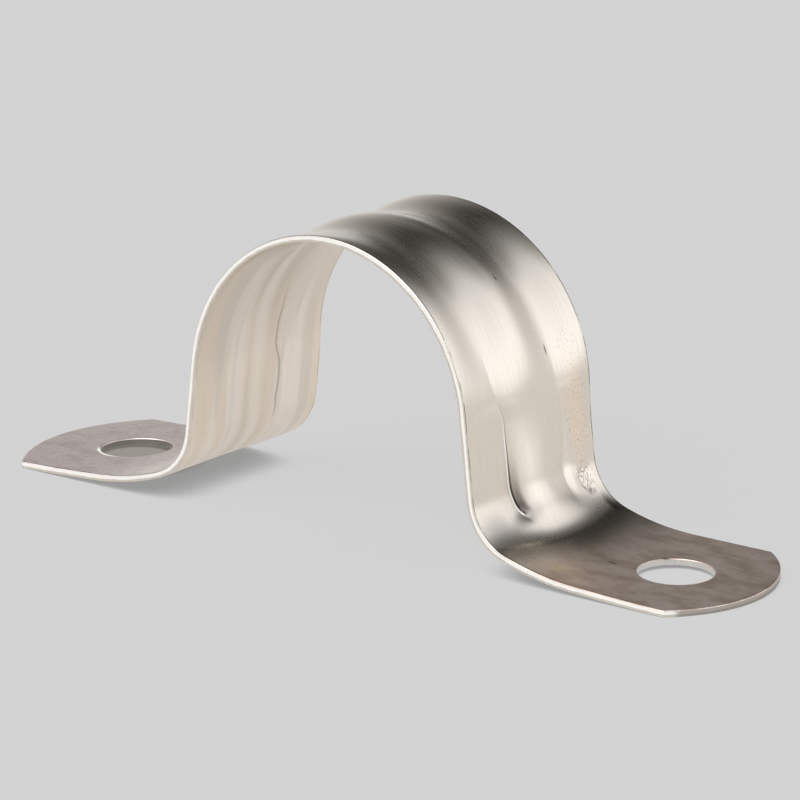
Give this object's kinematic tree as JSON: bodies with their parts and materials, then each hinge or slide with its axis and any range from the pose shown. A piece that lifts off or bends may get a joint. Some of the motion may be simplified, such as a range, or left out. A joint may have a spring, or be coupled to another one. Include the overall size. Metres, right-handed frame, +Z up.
{
  "type": "conduit strap",
  "caption": "Two-hole saddle strap of thin stamped stainless sheet: a ribbed arch over the conduit and two wide round-ended feet, each with a screw hole.",
  "frame": {"origin": "middle of the strap in plan, on the plane the two foot ends stand on", "axes": "+X along the strap from the left foot to the right foot, +Y along the conduit from the front edge to the rear edge, +Z up from the mounting plane"},
  "size_m": [0.0924, 0.0216, 0.0325],
  "materials": {
    "stamped_steel": "dull rolled finish with bright press marks"
  },
  "bodies": {
    "root": {"strap": "stamped_steel"}
  },
  "joints": []
}
